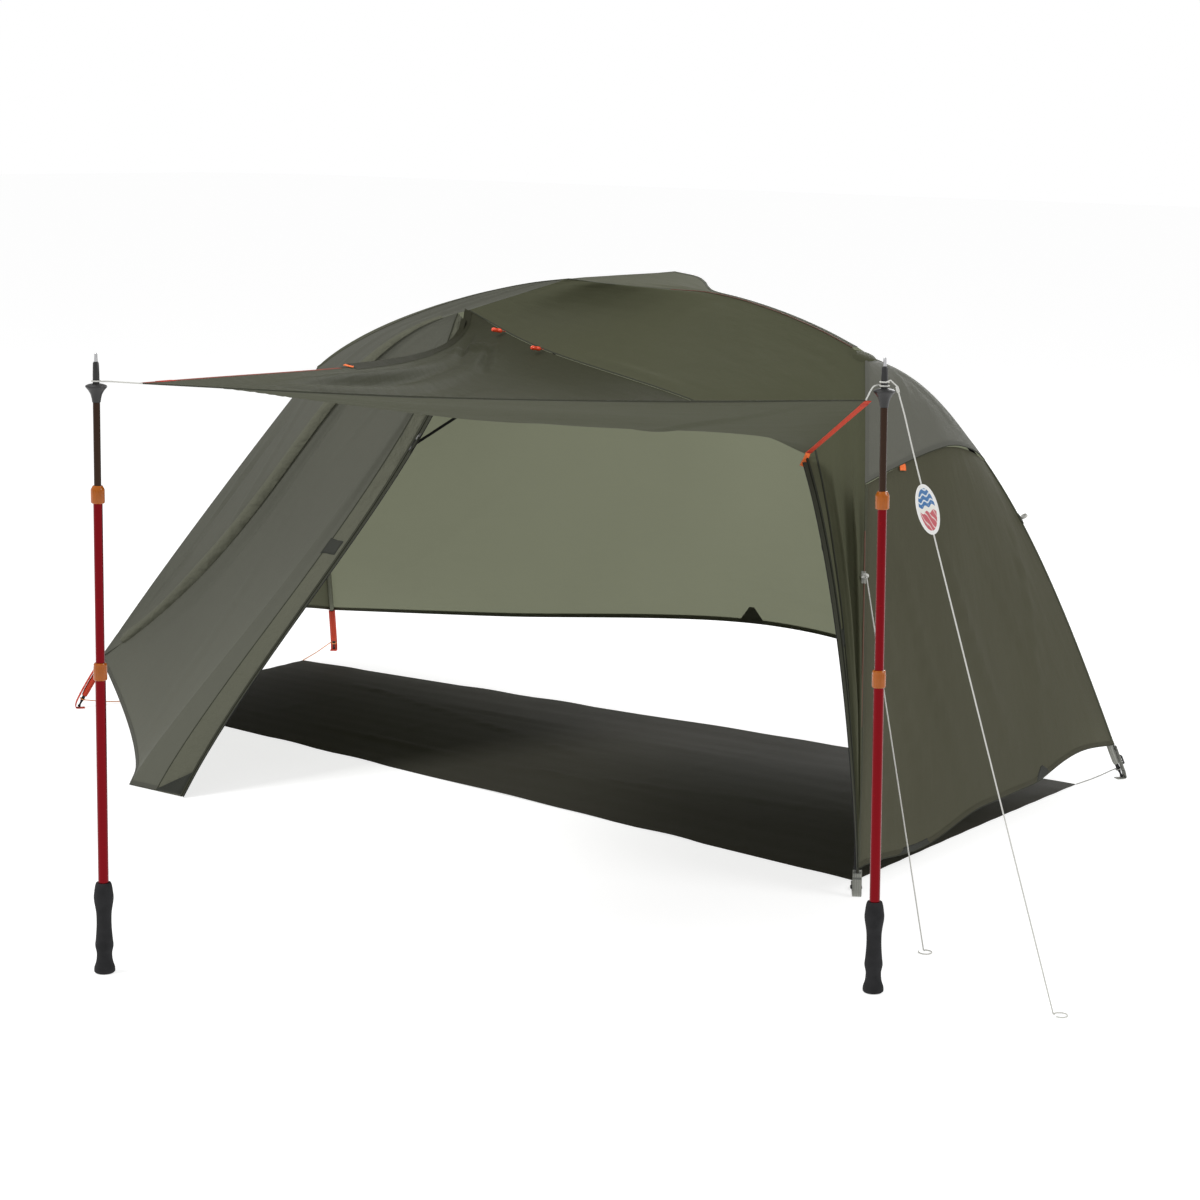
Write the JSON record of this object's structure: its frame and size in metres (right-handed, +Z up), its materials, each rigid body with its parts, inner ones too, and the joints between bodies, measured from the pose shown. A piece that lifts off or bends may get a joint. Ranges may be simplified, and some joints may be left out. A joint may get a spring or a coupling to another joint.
{
  "type": "backpacking tent",
  "caption": "Solo hubbed-pole tent pitched with its door held out as an awning by walking poles, on a tapered groundsheet.",
  "frame": {"origin": "middle of the groundsheet's underside, on the ground", "axes": "+X towards the head end, -Y the door side, +Z up"},
  "size_m": [2.9699, 2.4332, 1.1236],
  "materials": {
    "fly_olive": "silicone-coated ripstop, dark olive",
    "fly_light": "the same cloth where it reads lighter",
    "groundsheet_black": "coated groundsheet cloth, near black",
    "pole_black": "black anodised tube",
    "hub_black": "moulded nylon",
    "basket_black": "moulded plastic",
    "webbing_red": "red webbing",
    "webbing_grey": "grey webbing and cord",
    "clip_grey": "pale plastic ring",
    "binding_black": "dark zip tape",
    "cord_orange": "braided cord",
    "cord_white": "braided cord",
    "tag_white": "printed plastic",
    "shaft_red": "dark red anodised tube",
    "shaft_dark": "grey-brown anodised tube",
    "lock_amber": "translucent amber plastic",
    "grip_foam": "foam grip",
    "tip_steel": "steel point in a dark ferrule",
    "slider_metal": "zip slider",
    "toggle_red": "moulded toggle"
  },
  "bodies": {
    "tent": {"fly_roof": "fly_olive", "fly_rear": "fly_olive", "fly_foot_end": "fly_olive", "fly_head_wall": "fly_olive", "fly_front_right": "fly_olive", "awning": "fly_olive", "fly_head_hood": "fly_light", "fly_front_left": "fly_light", "fly_vestibule": "fly_light", "groundsheet": "groundsheet_black", "ridge_pole": "pole_black", "leg_foot_front": "pole_black", "leg_foot_rear": "pole_black", "leg_head_front": "pole_black", "leg_head_rear": "pole_black", "brow_pole": "pole_black", "foot_hub": "hub_black", "head_hub": "hub_black", "brow_swivel": "hub_black", "corner_buckle_front": "hub_black", "corner_buckle_rear": "hub_black", "inner_strap": "binding_black", "corner_strap_foot_front": "webbing_red", "corner_strap_foot_rear": "webbing_red", "awning_webbing_left": "webbing_red", "awning_webbing_right": "webbing_red", "corner_strap_head_front": "webbing_grey", "corner_strap_head_rear": "webbing_grey", "corner_cord_head_rear": "webbing_grey", "guy_clip_front": "clip_grey", "guy_clip_rear": "clip_grey", "zip_left": "binding_black", "zip_right": "binding_black", "corner_cord_foot_front": "cord_orange", "corner_cord_foot_rear": "cord_orange", "guyline_pole": "cord_white", "guyline_side": "cord_white", "awning_cord_left": "cord_white", "awning_cord_right": "cord_white", "left_pole_lower_shaft": "shaft_dark", "left_pole_basket": "basket_black", "left_pole_tip": "tip_steel", "right_pole_lower_shaft": "shaft_dark", "right_pole_basket": "basket_black", "right_pole_tip": "tip_steel"},
    "left_middle_section": {"left_pole_middle_shaft": "shaft_red"},
    "left_upper_section": {"left_pole_upper_shaft": "shaft_red", "left_pole_grip": "grip_foam"},
    "left_upper_collar": {"left_pole_upper_lock": "lock_amber"},
    "left_lower_collar": {"left_pole_lower_lock": "lock_amber"},
    "right_middle_section": {"right_pole_middle_shaft": "shaft_red"},
    "right_upper_section": {"right_pole_upper_shaft": "shaft_red", "right_pole_grip": "grip_foam"},
    "right_upper_collar": {"right_pole_upper_lock": "lock_amber"},
    "right_lower_collar": {"right_pole_lower_lock": "lock_amber"},
    "left_slider": {"zip_slider_left": "slider_metal"},
    "right_slider": {"zip_slider_right": "slider_metal"},
    "tag": {"guyline_tag": "tag_white"},
    "left_toggle": {"door_toggle_left": "toggle_red"},
    "right_toggle": {"door_toggle_right": "toggle_red"}
  },
  "joints": [
    {"name": "left_pole_middle_slide", "type": "slide", "parent": "tent", "child": "left_middle_section", "axis": [0.0037, 0.0028, 1], "range_m": [0, 0.12]},
    {"name": "left_pole_upper_slide", "type": "slide", "parent": "left_middle_section", "child": "left_upper_section", "axis": [0.0037, 0.0028, 1], "range_m": [0, 0.25]},
    {"name": "left_pole_upper_lock_twist", "type": "hinge", "parent": "left_upper_section", "child": "left_upper_collar", "pos_m": [0.389, -1.813, 0.00009], "axis": [0.0037, 0.0028, 1], "range_deg": [0, 90]},
    {"name": "left_pole_lower_lock_twist", "type": "hinge", "parent": "left_middle_section", "child": "left_lower_collar", "pos_m": [0.389, -1.813, 0.00009], "axis": [0.0037, 0.0028, 1], "range_deg": [0, 90]},
    {"name": "right_pole_middle_slide", "type": "slide", "parent": "tent", "child": "right_middle_section", "axis": [-0.0146, -0.011, 0.9998], "range_m": [0, 0.12]},
    {"name": "right_pole_upper_slide", "type": "slide", "parent": "right_middle_section", "child": "right_upper_section", "axis": [-0.0146, -0.011, 0.9998], "range_m": [0, 0.25]},
    {"name": "right_pole_upper_lock_twist", "type": "hinge", "parent": "right_upper_section", "child": "right_upper_collar", "pos_m": [1.483, -1.052, 0.00033], "axis": [-0.0146, -0.011, 0.9998], "range_deg": [0, 90]},
    {"name": "right_pole_lower_lock_twist", "type": "hinge", "parent": "right_middle_section", "child": "right_lower_collar", "pos_m": [1.483, -1.052, 0.00033], "axis": [-0.0146, -0.011, 0.9998], "range_deg": [0, 90]},
    {"name": "left_zip_slide", "type": "slide", "parent": "tent", "child": "left_slider", "axis": [-0.2027, -0.5751, -0.7926], "range_m": [0, 0.25]},
    {"name": "right_zip_slide", "type": "slide", "parent": "tent", "child": "right_slider", "axis": [0.4364, -0.3742, -0.8182], "range_m": [0, 0.15]},
    {"name": "tag_slide", "type": "slide", "parent": "tent", "child": "tag", "axis": [0.2648, 0.095, -0.9596], "range_m": [-0.1, 0.45]},
    {"name": "left_toggle_swing", "type": "hinge", "parent": "tent", "child": "left_toggle", "pos_m": [0.04353, -0.27843, 1.00333], "axis": [-0.9392, 0.2331, 0.2522], "range_deg": [0, 80]},
    {"name": "right_toggle_swing", "type": "hinge", "parent": "tent", "child": "right_toggle", "pos_m": [0.17085, -0.30397, 0.97368], "axis": [-0.969, 0.1554, 0.1922], "range_deg": [0, 80]}
  ]
}
